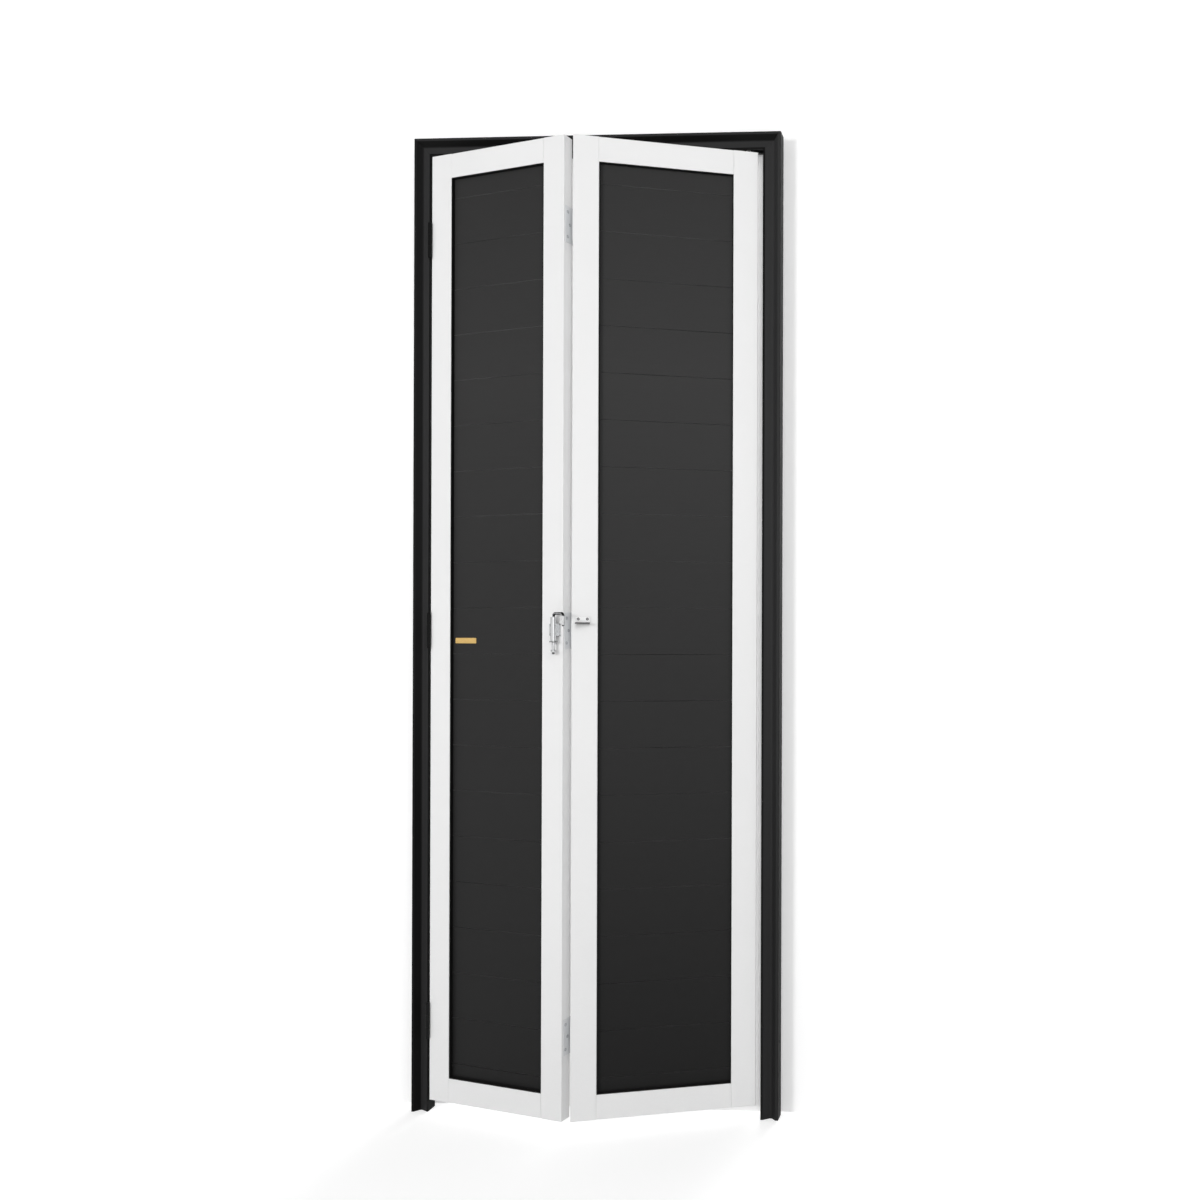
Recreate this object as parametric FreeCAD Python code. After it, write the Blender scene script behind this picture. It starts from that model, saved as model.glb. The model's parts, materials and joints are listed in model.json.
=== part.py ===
import FreeCAD, Part
import math
import os

os.makedirs("parts", exist_ok=True)

# A two-leaf folding door in its moulded frame. X runs across the door, Z up,
# and the viewer stands on the -Y side. The wall's face is the plane y = 0,
# the floor is z = 0 and the middle of the doorway is x = 0. The door is drawn
# shut and then folded to the pose in which it stands: millimetres throughout.

cut_over = 1.0            # how far every cutting tool runs past what it cuts
fit = 0.05                # radial play of pins, bushes and pressed-in pieces
play = 0.2                # play of a piece that slides into a hollow section

# Frame: overall size over the moulded casing
frame_width = 810.0
frame_height = 2130.0
casing_width = 37.0
casing_depth = 30.0       # from the wall's face to the outer lip
casing_lip = 6.0
cove_width = 11.0
cove_depth = 11.0
cove_radius = 6.0
inner_bead_width = 3.0
inner_bead_set_back = 2.0
casing_edge_radius = 1.5
lip_edge_radius = 1.0
section_wall = 2.5
cleat_leg = 60.0
fixing_bore = 6.0
fixing_pitch = 880.0
fixing_first = 165.0

# Gaps round and between the leaves
hinge_gap = 3.0
fold_gap = 3.6
free_gap = 5.0
head_gap = 5.0
floor_gap = 28.0
leaf_proud = 2.0          # leaf face in front of the frame's inner edge

# Leaves
leaf_thickness = 25.0
stile_width = 52.0
leaf_wall = 2.5
leaf_edge_radius = 1.2
channel_depth = 8.0       # how deep the boards reach into stiles and rails
plug_depth = 6.0
leaf_cleat_length = 50.0

# Boards and the black bead round them
board_recess = 8.0
board_thickness = 9.0
board_cover = 99.0
first_board_cover = 44.0
board_end_play = 1.0
board_joint = 0.4
board_bevel = 0.6
tongue_height = 5.0
tongue_thickness = 3.0
tongue_play = 0.3
bead_width = 2.0
bead_set_back = 1.0

# Butt hinges
hinge_height = 76.0
hinge_leaf_width = 25.0
hinge_plate = 1.2
knuckle_count = 3
knuckle_radius = 4.0
knuckle_gap = 0.6
notch_play = 0.4
hinge_pin_radius = 2.5
round_sides = 16          # knuckles, their pins and the bent rod are drawn with this many flats
hinge_pin_over = 1.0      # how far the pin stands out of the knuckles
jamb_axis_offset = 4.5    # pin centre in front of the left leaf's face
fold_axis_offset = 4.0    # pin centre behind the leaves' backs
top_hinge_drop = 184.0
bottom_hinge_rise = 173.0

# Head track and the guide on the free corner
guide_inset = 20.0
guide_pin_radius = 2.5
guide_shoulder_radius = 4.0
guide_shoulder = 1.4
guide_block_depth = 9.0
roller_radius = 4.5
roller_height = 5.0
roller_lift = 0.8         # underside of the roller above the track's mouth
pin_end = 0.5
track_wall = 1.5
track_height = 8.5
track_end_play = 0.5
track_clearance = 0.4

# Lift-and-turn bolt latch
latch_inset = 15.5        # rod centre from the meeting edge
rod_standoff = 10.0       # rod centre in front of the leaf's face
rod_radius = 3.0
rod_bend = 7.0
rod_arm = 41.6
rod_arm_rise = 7.5        # rod's arm above the barrel
rod_tip_drop = 26.5       # tip's end below the arm
rod_foot_drop = 25.0      # rod's lower end below the barrel
rod_collar_radius = 5.0
rod_collar_height = 5.0
rod_collar_rise = 4.0
barrel_radius = 5.8
barrel_length = 52.0
barrel_over_hinge = 1.5   # barrel's middle above the middle hinges'
barrel_foot_radius = 8.0
barrel_foot = 2.5
bush_radius = 4.2
bush_length = 34.0
bush_rise = 2.0
latch_plate = 2.5
latch_plate_height = 26.0
latch_plate_left = 16.5
latch_plate_right = 10.0
latch_plate_corner = 3.0
latch_web = 8.0

# Keeper on the right leaf
keeper_edge = 8.5
keeper_width = 28.0
keeper_plate = 2.5
ledge_drop = 18.5         # ledge's top below the rod's arm
keeper_rise = 12.0
keeper_reach = 18.0
keeper_bend = 2.0
keeper_hole_radius = 4.5
keeper_corner = 3.0

# Cover caps on the free jamb
cap_radius = 2.6
cap_top_radius = 1.6
cap_height = 1.2

# How far the door is folded: shut is 0 and each leaf turns by the same angle
fold_at_rest = 15.0
fold_most = 80.0
swing_at_rest = 25.0      # how far the latch arm stands out from the leaf

# Worked-out places
opening_left = -frame_width / 2 + casing_width
opening_right = -opening_left
opening_top = frame_height - casing_width
inner_edge_y = -casing_depth + inner_bead_set_back
leaf_front = inner_edge_y - leaf_proud
leaf_back = leaf_front + leaf_thickness
leaf_bottom = floor_gap
leaf_top = opening_top - head_gap

# The leaves share the room between the jambs so that the guide pin's arm is
# longer than the left leaf's by what keeps its path nearly straight.
pin_lead = jamb_axis_offset + leaf_thickness / 2
arm_difference = pin_lead * math.tan(math.radians(fold_most) / 2)
leaf_room = opening_right - opening_left - hinge_gap - fold_gap - free_gap
left_leaf_width = (leaf_room - arm_difference - guide_inset - hinge_gap / 2) / 2
left_x0 = opening_left + hinge_gap
left_x1 = left_x0 + left_leaf_width
right_x0 = left_x1 + fold_gap
right_x1 = opening_right - free_gap
leaf_mid_y = leaf_front + leaf_thickness / 2
jamb_axis = (left_x0 - hinge_gap / 2, leaf_front - jamb_axis_offset)
fold_axis = (left_x1 + fold_gap / 2, leaf_back + fold_axis_offset)
guide_axis = (right_x1 - guide_inset, leaf_mid_y)
latch_axis = (left_x1 - latch_inset, leaf_front - rod_standoff)
board_front = leaf_front + board_recess
board_back = board_front + board_thickness
hinge_levels = (leaf_top - top_hinge_drop,
                (leaf_top - top_hinge_drop + leaf_bottom + bottom_hinge_rise) / 2,
                leaf_bottom + bottom_hinge_rise)

barrel_bottom_z = hinge_levels[1] + barrel_over_hinge - barrel_length / 2
barrel_top_z = barrel_bottom_z + barrel_length
rod_arm_z = barrel_top_z + rod_arm_rise
rod_tip_z = rod_arm_z - rod_tip_drop
rod_foot_z = barrel_bottom_z - rod_foot_drop
keeper_ledge_top_z = rod_arm_z - ledge_drop

# The guide pin leaves a straight line by a little as the leaves fold, so the
# track is as wide as its least and greatest depth ask for.
most = math.radians(fold_most)
guide_back_y = jamb_axis[1] + math.hypot(arm_difference, pin_lead)
guide_open_y = jamb_axis[1] + arm_difference * math.sin(most) + pin_lead * math.cos(most)
guide_front_y = min(guide_axis[1], guide_open_y)
track_front = guide_front_y - roller_radius - track_clearance - track_wall
track_back = guide_back_y + roller_radius + track_clearance + track_wall


def vec(x, y, z):
    return FreeCAD.Vector(x, y, z)


def box(x0, x1, y0, y1, z0, z1):
    lo = vec(min(x0, x1), min(y0, y1), min(z0, z1))
    return Part.makeBox(abs(x1 - x0), abs(y1 - y0), abs(z1 - z0), lo)


def rod(radius, x, y, z0, z1):
    return Part.makeCylinder(radius, z1 - z0, vec(x, y, z0))


def flats(radius, x, y, z, outside):
    """Closed ring of flats: its corners on the radius, or its flats for a bore."""
    reach = radius / math.cos(math.pi / round_sides) if outside else radius
    turns = [2 * math.pi * i / round_sides for i in range(round_sides)]
    points = [vec(x + reach * math.cos(a), y + reach * math.sin(a), z) for a in turns]
    return Part.makePolygon(points + [points[0]])


def flat_rod(radius, z0, z1, outside=False):
    return Part.Face(flats(radius, 0, 0, z0, outside)).extrude(vec(0, 0, z1 - z0))


def outline(corners, place):
    """Closed outline from (a, b, radius) corners, with rounded ones as arcs."""
    count = len(corners)
    ends = []
    for i in range(count):
        a, b, r = corners[i]
        p = corners[i - 1]
        n = corners[(i + 1) % count]
        to_p = (p[0] - a, p[1] - b)
        to_n = (n[0] - a, n[1] - b)
        len_p = math.hypot(*to_p)
        len_n = math.hypot(*to_n)
        if r <= 0:
            ends.append(((a, b), None, (a, b)))
            continue
        up = (to_p[0] / len_p, to_p[1] / len_p)
        un = (to_n[0] / len_n, to_n[1] / len_n)
        half = math.acos(max(-1, min(1, up[0] * un[0] + up[1] * un[1]))) / 2
        back = r / math.tan(half)
        start = (a + up[0] * back, b + up[1] * back)
        end = (a + un[0] * back, b + un[1] * back)
        mid = ((up[0] + un[0]) / 2, (up[1] + un[1]) / 2)
        size = math.hypot(*mid)
        reach = r / math.sin(half) - r
        top = (a + mid[0] / size * reach, b + mid[1] / size * reach)
        ends.append((start, top, end))
    edges = []
    for i in range(count):
        start, top, end = ends[i]
        if top is not None:
            edges.append(Part.Arc(place(*start), place(*top), place(*end)).toShape())
        nxt = ends[(i + 1) % count][0]
        edges.append(Part.makeLine(place(*end), place(*nxt)))
    return Part.Face(Part.Wire(edges))


def section_solid(corners, hollows, place, run):
    """Extrude an outline along run, with its hollow chambers left open."""
    body = outline(corners, place).extrude(run)
    for hollow in hollows:
        over = FreeCAD.Vector(run).normalize() * cut_over
        void = outline(hollow, place)
        void.translate(over * -1)
        body = body.cut(void.extrude(run + over * 2))
    return body


def turned(profile, x, y, z):
    """Revolve (radius, height) points about the vertical through x, y."""
    points = [vec(x + r, y, z + h) for r, h in profile]
    face = Part.Face(Part.makePolygon(points + [points[0]]))
    return face.revolve(vec(x, y, z), vec(0, 0, 1), 360)


def fused(solids):
    body = solids[0]
    for other in solids[1:]:
        body = body.fuse(other)
    return body.removeSplitter()


# Frame

def frame_corners():
    """The moulding from its outer edge, u = 0, to its inner edge: lip, cove, rising face, bead."""
    bead_start = casing_width - inner_bead_width
    return [(0, 0, 0),
            (0, -casing_depth, casing_edge_radius),
            (casing_lip, -casing_depth, lip_edge_radius),
            (casing_lip + cove_width, cove_depth - casing_depth, cove_radius),
            (bead_start, inner_edge_y, lip_edge_radius),
            (casing_width, inner_edge_y, casing_edge_radius),
            (casing_width, 0, 0)]


def frame_hollow(far):
    """Chamber behind the moulding, up to u = far, with walls of one thickness."""
    foot = casing_lip + cove_width
    foot_y = cove_depth - casing_depth + section_wall
    widest = casing_width - section_wall
    rise = (inner_edge_y + section_wall - foot_y) * (far - foot) / (widest - foot)
    return [(section_wall, foot_y, 0), (foot, foot_y, 0), (far, foot_y + rise, 0),
            (far, -section_wall, 0), (section_wall, -section_wall, 0)]


def mitre_tool():
    """Wedge above the 45 degree line that falls from the left top corner."""
    reach = casing_width + cut_over
    x = -frame_width / 2
    y0 = -casing_depth - cut_over
    points = [vec(x - cut_over, y0, frame_height + cut_over),
              vec(x + reach, y0, frame_height - reach),
              vec(x + reach, y0, frame_height + cut_over)]
    run = casing_depth + cut_over * 2
    return Part.Face(Part.makePolygon(points + [points[0]])).extrude(vec(0, run, 0))


def mirrored(body):
    return body.mirror(vec(0, 0, 0), vec(1, 0, 0))


def fixing_levels():
    count = int((leaf_top - fixing_first) // fixing_pitch) + 1
    return [fixing_first + i * fixing_pitch for i in range(count)]


def plain_jamb():
    place = lambda u, y: vec(-frame_width / 2 + u, y, 0)
    body = section_solid(frame_corners(), [frame_hollow(casing_width - section_wall)], place,
                         vec(0, 0, frame_height))
    body = body.cut(mitre_tool())
    run = casing_width + cut_over * 2
    for z in fixing_levels():
        at = vec(-frame_width / 2 - cut_over, -casing_depth / 2, z)
        body = body.cut(Part.makeCylinder(fixing_bore / 2, run, at, vec(1, 0, 0)))
    return body


def left_jamb():
    return plain_jamb()


def right_jamb():
    return mirrored(plain_jamb())


def head_chamber_end():
    return casing_width - track_height - section_wall


def head():
    place = lambda u, y: vec(-frame_width / 2, y, frame_height - u)
    body = section_solid(frame_corners(), [frame_hollow(head_chamber_end())], place,
                         vec(frame_width, 0, 0))
    reach = casing_width + cut_over
    low = frame_height - reach - cut_over
    for side in (-1, 1):
        x = side * frame_width / 2
        points = [vec(x + side * cut_over, -casing_depth - cut_over, frame_height + cut_over),
                  vec(x - side * (reach + cut_over), -casing_depth - cut_over, low),
                  vec(x + side * cut_over, -casing_depth - cut_over, low)]
        wedge = Part.Face(Part.makePolygon(points + [points[0]]))
        body = body.cut(wedge.extrude(vec(0, casing_depth + cut_over * 2, 0)))
    return body.cut(box(-frame_width / 2, frame_width / 2, track_front, track_back,
                        opening_top - cut_over, opening_top + track_height))


def frame_cleat(side):
    """L-shaped corner key in the chambers, one leg in the jamb and one in the head."""
    u0 = section_wall + play
    u1 = head_chamber_end() - play
    leg = u0 + cleat_leg
    shape = [(u0, u0), (leg, u0), (leg, u1), (u1, u1), (u1, leg), (u0, leg)]
    y0 = cove_depth - casing_depth + section_wall + play
    y1 = -section_wall - play
    points = [vec(-frame_width / 2 + a, y0, frame_height - b) for a, b in shape]
    body = Part.Face(Part.makePolygon(points + [points[0]])).extrude(vec(0, y1 - y0, 0))
    return body if side < 0 else mirrored(body)


def guide_track():
    """Open channel let into the underside of the head."""
    x0 = opening_left + track_end_play
    x1 = opening_right - track_end_play
    body = box(x0, x1, track_front + fit, track_back - fit, opening_top,
               opening_top + track_height - fit)
    body = body.cut(box(x0 - cut_over, x1 + cut_over, track_front + track_wall,
                        track_back - track_wall, opening_top - cut_over,
                        opening_top + track_height - track_wall))
    return body


def jamb_caps():
    """Two small round caps on the free jamb's inner edge, tapered to the front."""
    x = opening_right + inner_bead_width / 2 + casing_edge_radius
    turns = [2 * math.pi * i / round_sides for i in range(round_sides)]
    caps = []
    for z in (hinge_levels[0], hinge_levels[2]):
        rings = []
        for radius, y in ((cap_radius, inner_edge_y), (cap_top_radius, inner_edge_y - cap_height)):
            points = [vec(x + radius * math.cos(a), y, z + radius * math.sin(a)) for a in turns]
            rings.append(Part.makePolygon(points + [points[0]]))
        caps.append(Part.makeLoft(rings, True, True))
    return caps


# Leaves

def leaf_span(leaf):
    return (left_x0, left_x1) if leaf == "left" else (right_x0, right_x1)


def member_corners():
    groove_front = board_front - play
    groove_back = board_back + play
    inner = stile_width - channel_depth
    return [(0, leaf_back, 0), (0, leaf_front, leaf_edge_radius),
            (stile_width, leaf_front, leaf_edge_radius), (stile_width, groove_front, 0),
            (inner, groove_front, 0), (inner, groove_back, 0),
            (stile_width, groove_back, 0), (stile_width, leaf_back, 0)]


def chamber_span():
    return leaf_wall, stile_width - channel_depth - leaf_wall


def member_hollow():
    lo, hi = chamber_span()
    return [(lo, leaf_front + leaf_wall, 0), (hi, leaf_front + leaf_wall, 0),
            (hi, leaf_back - leaf_wall, 0), (lo, leaf_back - leaf_wall, 0)]


def stile(leaf, side):
    x0, x1 = leaf_span(leaf)
    if side < 0:
        place = lambda u, y: vec(x0 + u, y, leaf_bottom)
    else:
        place = lambda u, y: vec(x1 - u, y, leaf_bottom)
    return section_solid(member_corners(), [member_hollow()], place,
                         vec(0, 0, leaf_top - leaf_bottom))


def rail(leaf, side):
    x0, x1 = leaf_span(leaf)
    if side > 0:
        place = lambda v, y: vec(x0 + stile_width, y, leaf_top - v)
    else:
        place = lambda v, y: vec(x0 + stile_width, y, leaf_bottom + v)
    return section_solid(member_corners(), [member_hollow()], place,
                         vec(x1 - x0 - stile_width * 2, 0, 0))


def leaf_cleats(leaf):
    """Blocks in the ends of the rails that key them to the stiles."""
    x0, x1 = leaf_span(leaf)
    lo, hi = chamber_span()
    tall = (hi - lo) / 2 - play
    made = []
    for side in (-1, 1):
        start = x0 + stile_width if side < 0 else x1 - stile_width - leaf_cleat_length
        for level in (leaf_top - (lo + hi) / 2, leaf_bottom + (lo + hi) / 2):
            made.append(box(start, start + leaf_cleat_length, leaf_front + leaf_wall + play,
                            leaf_back - leaf_wall - play, level - tall, level + tall))
    return made


def plug(leaf, side, top, depth):
    x0, x1 = leaf_span(leaf)
    lo, hi = chamber_span()
    a = x0 + lo if side < 0 else x1 - hi
    z = leaf_top - depth if top else leaf_bottom
    return box(a + fit, a + hi - lo - fit, leaf_front + leaf_wall + fit,
               leaf_back - leaf_wall - fit, z, z + depth)


def end_plugs(leaf):
    made = [plug(leaf, -1, True, plug_depth), plug(leaf, -1, False, plug_depth),
            plug(leaf, 1, False, plug_depth)]
    if leaf == "left":
        made.append(plug(leaf, 1, True, plug_depth))
    return made


def boards(leaf):
    """Tongued boards laid across the leaf, their ends in the stiles' channels."""
    x0, x1 = leaf_span(leaf)
    a = x0 + stile_width - channel_depth + board_end_play
    b = x1 - stile_width + channel_depth - board_end_play
    sight_top = leaf_top - stile_width
    sight_bottom = leaf_bottom + stile_width
    end = channel_depth - board_end_play
    joints = []
    z = sight_top - first_board_cover
    while z > sight_bottom + tongue_height * 2:
        joints.append(z)
        z -= board_cover
    levels = [sight_top + end] + joints + [sight_bottom - end]
    mid = (board_front + board_back) / 2
    half = tongue_thickness / 2
    made = []
    for i in range(len(levels) - 1):
        top = levels[i]
        low = levels[i + 1]
        last = i == len(levels) - 2
        up = [(board_front + board_bevel, top), (mid - half, top), (mid - half, top + tongue_height),
              (mid + half, top + tongue_height), (mid + half, top), (board_back, top)]
        if i == 0:
            up = [(board_front, top), (board_back, top)]
        else:
            up = [(board_front, top - board_bevel)] + up
        wide = half + tongue_play
        deep = low + board_joint + tongue_height + tongue_play
        if last:
            down = [(board_back, low), (board_front, low)]
        else:
            base = low + board_joint
            down = [(board_back, base), (mid + wide, base), (mid + wide, deep), (mid - wide, deep),
                    (mid - wide, base), (board_front + board_bevel, base),
                    (board_front, base + board_bevel)]
        points = [vec(a, y, zz) for y, zz in up + down]
        made.append(Part.Face(Part.makePolygon(points + [points[0]])).extrude(vec(b - a, 0, 0)))
    return made


def bead(leaf):
    """Black bead that lines the four edges round the boards, as one ring."""
    x0, x1 = leaf_span(leaf)
    a, b = x0 + stile_width, x1 - stile_width
    c, d = leaf_bottom + stile_width, leaf_top - stile_width
    y0 = leaf_front + bead_set_back
    ring = box(a, b, y0, board_front, c, d)
    return ring.cut(box(a + bead_width, b - bead_width, y0 - cut_over, board_front + cut_over,
                        c + bead_width, d - bead_width))


# Hinges

def knuckle_spans():
    step = hinge_height / knuckle_count
    return [(-hinge_height / 2 + i * step, -hinge_height / 2 + (i + 1) * step)
            for i in range(knuckle_count)]


def hinge_half(side, reach, half_gap, own):
    """One half of a butt hinge, pin along Z at the origin, plate towards reach."""
    low = -hinge_height / 2
    plate = box(side * half_gap, side * (half_gap - hinge_plate), 0, reach * hinge_leaf_width,
                low, low + hinge_height)
    rings = []
    for i, (z0, z1) in enumerate(knuckle_spans()):
        if i % 2 == own:
            rings.append(flat_rod(knuckle_radius, z0 + (knuckle_gap / 2 if i else 0),
                                  z1 - (knuckle_gap / 2 if i < knuckle_count - 1 else 0)))
        else:
            wide = knuckle_radius + notch_play
            plate = plate.cut(box(-wide, wide, -wide, wide, z0 if i else z0 - cut_over,
                                  z1 if i < knuckle_count - 1 else z1 + cut_over))
    body = fused([plate] + rings)
    return body.cut(flat_rod(hinge_pin_radius + fit, low - cut_over, low + hinge_height + cut_over, True))


def hinge_pin():
    """Plain pin that stands a little out of the knuckles at both ends."""
    half = hinge_height / 2 + hinge_pin_over
    return flat_rod(hinge_pin_radius, -half, half)


def hinge_at(body, axis, z):
    made = body.copy()
    made.translate(vec(axis[0], axis[1], z))
    return made


def jamb_hinge_half(side, level):
    return hinge_at(hinge_half(side, 1, hinge_gap / 2, 0 if side < 0 else 1), jamb_axis,
                    hinge_levels[level])


def fold_hinge_half(side, level):
    return hinge_at(hinge_half(side, -1, fold_gap / 2, 0 if side < 0 else 1), fold_axis,
                    hinge_levels[level])


# Guide on the free top corner

def guide_block():
    block = plug("right", 1, True, guide_block_depth)
    return block.cut(rod(guide_pin_radius + fit, guide_axis[0], guide_axis[1],
                         leaf_top - guide_block_depth - cut_over, leaf_top + cut_over))


def roller_bottom():
    return opening_top + roller_lift


def guide_pin():
    r = guide_pin_radius
    low = leaf_top - guide_block_depth
    top = roller_bottom() + roller_height + pin_end
    shoulder_top = roller_bottom() - play
    shoulder = shoulder_top - guide_shoulder
    w = guide_shoulder_radius
    return turned([(0, low), (r, low), (r, shoulder), (w, shoulder), (w, shoulder_top),
                   (r, shoulder_top), (r, top), (0, top)], guide_axis[0], guide_axis[1], 0)


def guide_roller():
    z = roller_bottom()
    body = rod(roller_radius, guide_axis[0], guide_axis[1], z, z + roller_height)
    return body.cut(rod(guide_pin_radius + fit, guide_axis[0], guide_axis[1], z - cut_over,
                        z + roller_height + cut_over))


# Latch

def latch_body():
    """Barrel on its back plate, with a foot flange and a bore for the bush."""
    x, y = latch_axis
    mid = (barrel_bottom_z + barrel_top_z) / 2
    half = latch_plate_height / 2
    c = latch_plate_corner
    a, b = x - latch_plate_left, x + latch_plate_right
    place = lambda u, v: vec(u, leaf_front, v)
    plate = outline([(a, mid - half, c), (b, mid - half, c), (b, mid + half, c), (a, mid + half, c)],
                    place).extrude(vec(0, -latch_plate, 0))
    web = box(x - latch_web / 2, x + latch_web / 2, leaf_front - latch_plate, y, mid - half, mid + half)
    tube = rod(barrel_radius, x, y, barrel_bottom_z, barrel_top_z)
    foot = rod(barrel_foot_radius, x, y, barrel_bottom_z, barrel_bottom_z + barrel_foot)
    body = fused([plate, web, tube, foot])
    return body.cut(rod(bush_radius + fit, x, y, barrel_bottom_z - cut_over, barrel_top_z + cut_over))


def latch_bush():
    z0 = barrel_bottom_z + bush_rise
    tube = rod(bush_radius, latch_axis[0], latch_axis[1], z0, z0 + bush_length)
    return tube.cut(rod(rod_radius + fit, latch_axis[0], latch_axis[1], z0 - cut_over,
                        z0 + bush_length + cut_over))


def latch_rod():
    """Round rod bent over at the top and down again, with a stop collar below."""
    x, y = latch_axis
    r = rod_bend
    k = r * (1 - math.sqrt(0.5))
    end = x + rod_arm
    top = rod_arm_z
    path = [Part.makeLine(vec(x, y, rod_foot_z), vec(x, y, top - r)),
            Part.Arc(vec(x, y, top - r), vec(x + k, y, top - k), vec(x + r, y, top)).toShape(),
            Part.makeLine(vec(x + r, y, top), vec(end - r, y, top)),
            Part.Arc(vec(end - r, y, top), vec(end - k, y, top - k), vec(end, y, top - r)).toShape(),
            Part.makeLine(vec(end, y, top - r), vec(end, y, rod_tip_z))]
    ring = flats(rod_radius, x, y, rod_foot_z, False)
    body = Part.Wire(path).makePipeShell([ring], True, False)
    collar = rod(rod_collar_radius, x, y, rod_foot_z + rod_collar_rise,
                 rod_foot_z + rod_collar_rise + rod_collar_height)
    body = body.fuse(collar)
    body.rotate(vec(x, y, 0), vec(0, 0, 1), -swing_at_rest)
    return body


def keeper():
    """Angle plate on the right leaf with a hole in its ledge for the rod's tip."""
    x0 = right_x0 + keeper_edge
    t = keeper_plate
    y = leaf_front
    z = keeper_ledge_top_z
    place = lambda a, b: vec(x0, a, b)
    corners = [(y, z + keeper_rise, 0), (y, z - t, keeper_bend + t), (y - keeper_reach, z - t, 0),
               (y - keeper_reach, z, 0), (y - t, z, keeper_bend), (y - t, z + keeper_rise, 0)]
    body = outline(corners, place).extrude(vec(keeper_width, 0, 0))
    c = keeper_corner
    x1 = x0 + keeper_width
    front = y - keeper_reach
    flat = outline([(x0, front, c), (x1, front, c), (x1, y + cut_over, 0), (x0, y + cut_over, 0)],
                   lambda a, b: vec(a, b, z - t - cut_over)).extrude(vec(0, 0, keeper_rise + t + cut_over * 2))
    body = body.common(flat)
    hole_x = latch_axis[0] + rod_arm
    return body.cut(rod(keeper_hole_radius, hole_x, latch_axis[1], z - t - cut_over, z + cut_over))


# Folding the shut door to its rest pose

def as_fixed(body):
    return body


def as_left(body):
    made = body.copy()
    made.rotate(vec(jamb_axis[0], jamb_axis[1], 0), vec(0, 0, 1), -fold_at_rest)
    return made


def as_right(body):
    made = body.copy()
    made.rotate(vec(fold_axis[0], fold_axis[1], 0), vec(0, 0, 1), fold_at_rest * 2)
    return as_left(made)


def write(name, solids, pose):
    solids = solids if isinstance(solids, list) else [solids]
    placed = [pose(s) for s in solids]
    shape = placed[0] if len(placed) == 1 else Part.makeCompound(placed)
    shape.exportStep("parts/" + name + ".step")
    print(name, len(shape.Solids), round(shape.Volume), shape.isValid())


levels = ("upper", "middle", "lower")
write("left_jamb", left_jamb(), as_fixed)
write("right_jamb", right_jamb(), as_fixed)
write("head", head(), as_fixed)
write("frame_cleat_left", frame_cleat(-1), as_fixed)
write("frame_cleat_right", frame_cleat(1), as_fixed)
write("guide_track", guide_track(), as_fixed)
write("jamb_caps", jamb_caps(), as_fixed)
for i, level in enumerate(levels):
    write("jamb_hinge_" + level + "_fixed", jamb_hinge_half(-1, i), as_fixed)
    write("jamb_hinge_" + level + "_pin", hinge_at(hinge_pin(), jamb_axis, hinge_levels[i]), as_fixed)
    write("jamb_hinge_" + level + "_moving", jamb_hinge_half(1, i), as_left)
    write("fold_hinge_" + level + "_left", fold_hinge_half(-1, i), as_left)
    write("fold_hinge_" + level + "_pin", hinge_at(hinge_pin(), fold_axis, hinge_levels[i]), as_left)
    write("fold_hinge_" + level + "_right", fold_hinge_half(1, i), as_right)
for leaf, pose in (("left", as_left), ("right", as_right)):
    write(leaf + "_leaf_outer_stile", stile(leaf, -1 if leaf == "left" else 1), pose)
    write(leaf + "_leaf_meeting_stile", stile(leaf, 1 if leaf == "left" else -1), pose)
    write(leaf + "_leaf_top_rail", rail(leaf, 1), pose)
    write(leaf + "_leaf_bottom_rail", rail(leaf, -1), pose)
    write(leaf + "_leaf_boards", boards(leaf), pose)
    write(leaf + "_leaf_bead", bead(leaf), pose)
    write(leaf + "_leaf_cleats", leaf_cleats(leaf), pose)
    write(leaf + "_leaf_end_plugs", end_plugs(leaf), pose)
write("guide_block", guide_block(), as_right)
write("guide_pin", guide_pin(), as_right)
write("guide_roller", guide_roller(), as_right)
write("latch_body", latch_body(), as_left)
write("latch_bush", latch_bush(), as_left)
write("latch_rod", latch_rod(), as_left)
write("keeper", keeper(), as_right)
print("track mouth", round(track_back - track_front - track_wall * 2, 2),
      "right leaf", round(right_x1 - right_x0, 2),
      "arm difference", round(arm_difference, 2))
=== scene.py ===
import bpy
import bmesh
import json
import math
from mathutils import Matrix, Vector


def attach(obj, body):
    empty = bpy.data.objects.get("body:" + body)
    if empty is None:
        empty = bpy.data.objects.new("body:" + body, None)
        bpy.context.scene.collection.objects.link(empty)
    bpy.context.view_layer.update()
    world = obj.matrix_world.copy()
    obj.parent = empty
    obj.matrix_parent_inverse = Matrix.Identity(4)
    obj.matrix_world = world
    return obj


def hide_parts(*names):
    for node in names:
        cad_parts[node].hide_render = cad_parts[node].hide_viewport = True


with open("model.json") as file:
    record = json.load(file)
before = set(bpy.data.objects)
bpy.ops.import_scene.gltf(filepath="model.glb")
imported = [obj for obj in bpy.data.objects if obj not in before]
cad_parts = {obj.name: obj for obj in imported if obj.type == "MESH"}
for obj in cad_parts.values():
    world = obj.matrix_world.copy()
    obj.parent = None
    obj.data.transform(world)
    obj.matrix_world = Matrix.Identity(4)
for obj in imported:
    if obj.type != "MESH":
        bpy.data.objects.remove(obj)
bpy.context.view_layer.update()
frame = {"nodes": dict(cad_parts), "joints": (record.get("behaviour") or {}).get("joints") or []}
nodes = frame["nodes"]


# Jambs and head

# The fixed frame is one moulded section, mitred at the top corners: an outer
# lip, a deep cove and a face that rises to the inner edge. It is extruded and
# coated in a charcoal powder coat with a fine even grain.


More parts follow.
